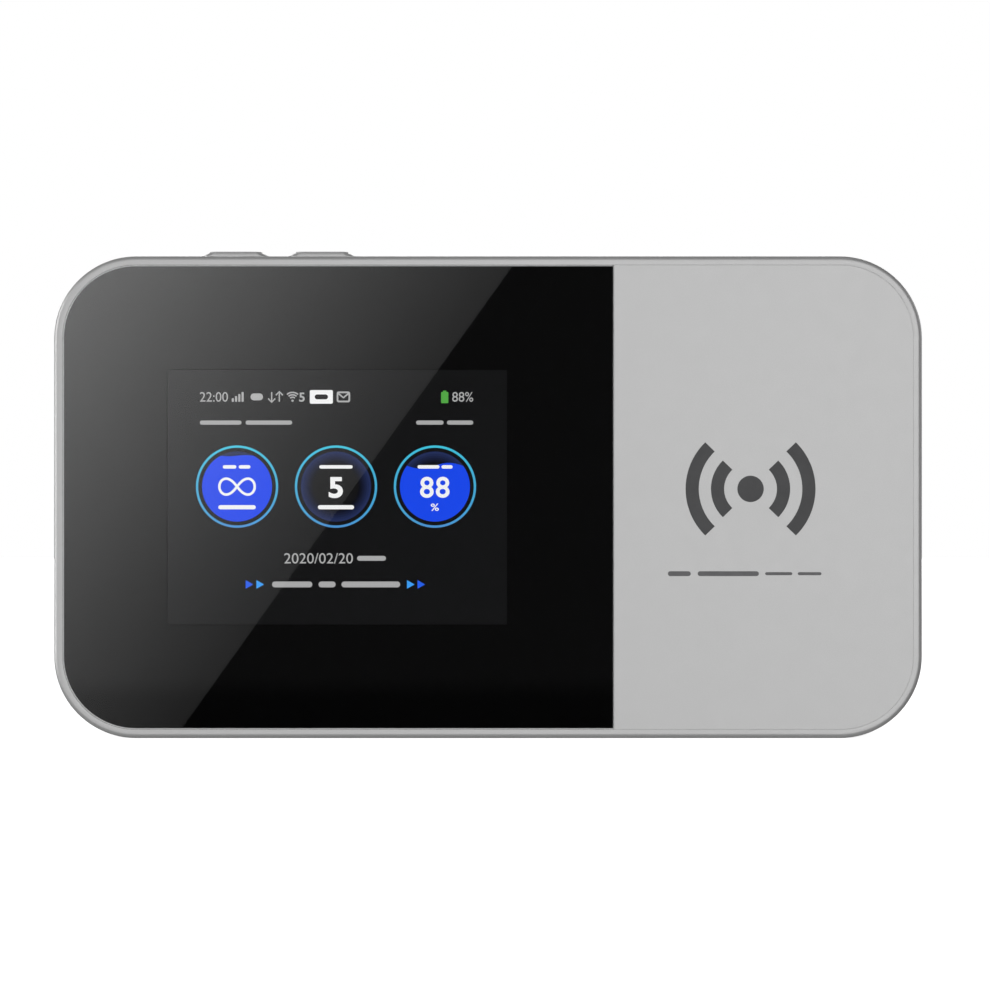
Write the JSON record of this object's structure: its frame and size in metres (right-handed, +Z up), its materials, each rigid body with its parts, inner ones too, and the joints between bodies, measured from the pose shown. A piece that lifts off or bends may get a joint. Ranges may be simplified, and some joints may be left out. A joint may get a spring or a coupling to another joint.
{
  "type": "mobile hotspot",
  "caption": "Pocket mobile hotspot: a rounded slab with a display behind black glass, edge buttons, a charging port, and a battery under a back cover that clips on.",
  "frame": {"origin": "middle of the long lower edge that the device stands on, halfway through its thickness", "axes": "-Y out of the display, which faces the viewer as in the picture; +X along the length, from the display end to the plain panel end; +Z up, towards the edge with the buttons"},
  "size_m": [0.125, 0.0156, 0.0702],
  "materials": {
    "frame_paint": "satin metallic paint",
    "panel_paint": "satin metallic paint",
    "cover_paint": "satin metallic paint",
    "black_glass": "polished, black ink behind",
    "tape": "foam tape",
    "touch_film": "clear film",
    "lcd_glass": "polished",
    "backlight_white": "moulded white",
    "stamped_steel": "stamped sheet",
    "flex_film": "polyimide film",
    "connector_plastic": "moulded",
    "graphite": "pressed graphite",
    "board_mask": "solder mask",
    "chip_black": "moulded",
    "thermal_pink": "soft",
    "ferrite": "moulded",
    "ceramic": "fired",
    "port_steel": "drawn sheet",
    "contact_gold": "plated",
    "chassis_black": "fine texture",
    "screw_steel": "plated",
    "carrier_black": "fine texture",
    "antenna_metal": "plated film",
    "battery_wrap": "printed wrap",
    "battery_black": "moulded",
    "button_paint": "polished paint",
    "plunger_plastic": "moulded",
    "card_white": "smooth"
  },
  "bodies": {
    "housing": {"front_frame": "frame_paint", "cover_glass": "black_glass", "glass_adhesive": "tape", "front_panel": "panel_paint", "panel_adhesive": "tape", "touch_sensor": "touch_film", "lcd_cell": "lcd_glass", "backlight_unit": "backlight_white", "display_bracket": "stamped_steel", "display_flex": "flex_film", "display_connector": "connector_plastic", "heat_spreader": "graphite", "main_board": "board_mask", "modem_shield": "stamped_steel", "modem_chip": "chip_black", "memory_chip": "chip_black", "thermal_pad": "thermal_pink", "radio_shield": "stamped_steel", "radio_modules": "chip_black", "wlan_shield": "stamped_steel", "wlan_chip": "chip_black", "power_chip": "chip_black", "power_inductors": "ferrite", "board_capacitors": "ceramic", "port_shell": "port_steel", "port_tongue": "chip_black", "power_switch": "stamped_steel", "pairing_switch": "stamped_steel", "reset_switch": "stamped_steel", "card_socket": "stamped_steel", "battery_contacts": "chip_black", "contact_springs": "contact_gold", "chassis": "chassis_black", "chassis_screws": "screw_steel", "bracket_screws": "screw_steel", "antenna_carrier": "carrier_black", "main_antenna": "antenna_metal", "panel_antenna": "antenna_metal", "side_antennas": "antenna_metal", "antenna_springs": "contact_gold"},
    "power_button": {"power_button": "button_paint", "power_plunger": "plunger_plastic"},
    "pairing_button": {"pairing_button": "button_paint", "pairing_plunger": "plunger_plastic"},
    "reset_plunger": {"reset_plunger": "plunger_plastic"},
    "sim_card": {"sim_card": "card_white", "sim_contacts": "contact_gold"},
    "back_cover": {"back_cover": "cover_paint", "cover_film": "graphite"},
    "battery": {"battery_pack": "battery_wrap", "battery_end_cap": "battery_black", "battery_terminals": "contact_gold"}
  },
  "joints": [
    {"name": "power_press", "type": "slide", "parent": "housing", "child": "power_button", "axis": [0, 0, -1], "range_m": [0, 0.0003], "stiffness_N_per_m": 1500},
    {"name": "pairing_press", "type": "slide", "parent": "housing", "child": "pairing_button", "axis": [0, 0, -1], "range_m": [0, 0.0003], "stiffness_N_per_m": 1500},
    {"name": "reset_press", "type": "slide", "parent": "housing", "child": "reset_plunger", "axis": [0, -1, 0], "range_m": [0, 0.00025], "stiffness_N_per_m": 1500},
    {"name": "card_slide", "type": "slide", "parent": "housing", "child": "sim_card", "axis": [0, 0, -1], "range_m": [0, 0.011]},
    {"name": "cover_lift", "type": "slide", "parent": "housing", "child": "back_cover", "axis": [0, 1, 0], "range_m": [0, 0.04]},
    {"name": "battery_lift", "type": "slide", "parent": "housing", "child": "battery", "axis": [0, 1, 0], "range_m": [0, 0.016]}
  ],
  "couplings": [
    {"joint": "battery_lift", "follows": "cover_lift", "ratio": 0.4}
  ]
}
